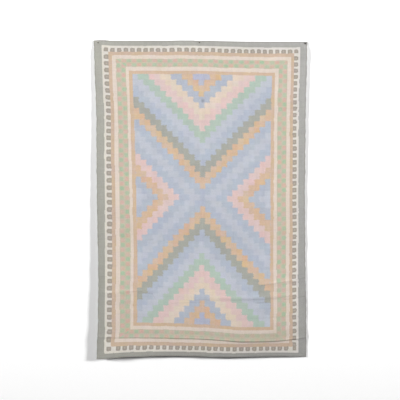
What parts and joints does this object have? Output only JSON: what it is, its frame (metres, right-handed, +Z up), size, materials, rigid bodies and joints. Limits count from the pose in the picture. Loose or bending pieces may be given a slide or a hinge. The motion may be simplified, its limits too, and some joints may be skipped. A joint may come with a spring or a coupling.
{
  "type": "dhurrie rug hung on nails",
  "caption": "Flat-woven cotton dhurrie rug that hangs face on from nails through its top edge, with a sharp cross fold near the bottom.",
  "frame": {"origin": "centre line of the middle nail where it enters the wall", "axes": "+X to the right as seen from the front, +Z up, and -Y out of the wall towards the viewer; the wall is the plane Y = 0"},
  "size_m": [1.232, 0.057, 1.8399],
  "materials": {
    "cotton_weave": "matt flat-woven cotton in soft pastel colours",
    "nail_steel": "dark blued steel"
  },
  "bodies": {
    "root": {"rug": "cotton_weave", "nail_left": "nail_steel", "nail_middle": "nail_steel", "nail_right": "nail_steel"}
  },
  "joints": []
}
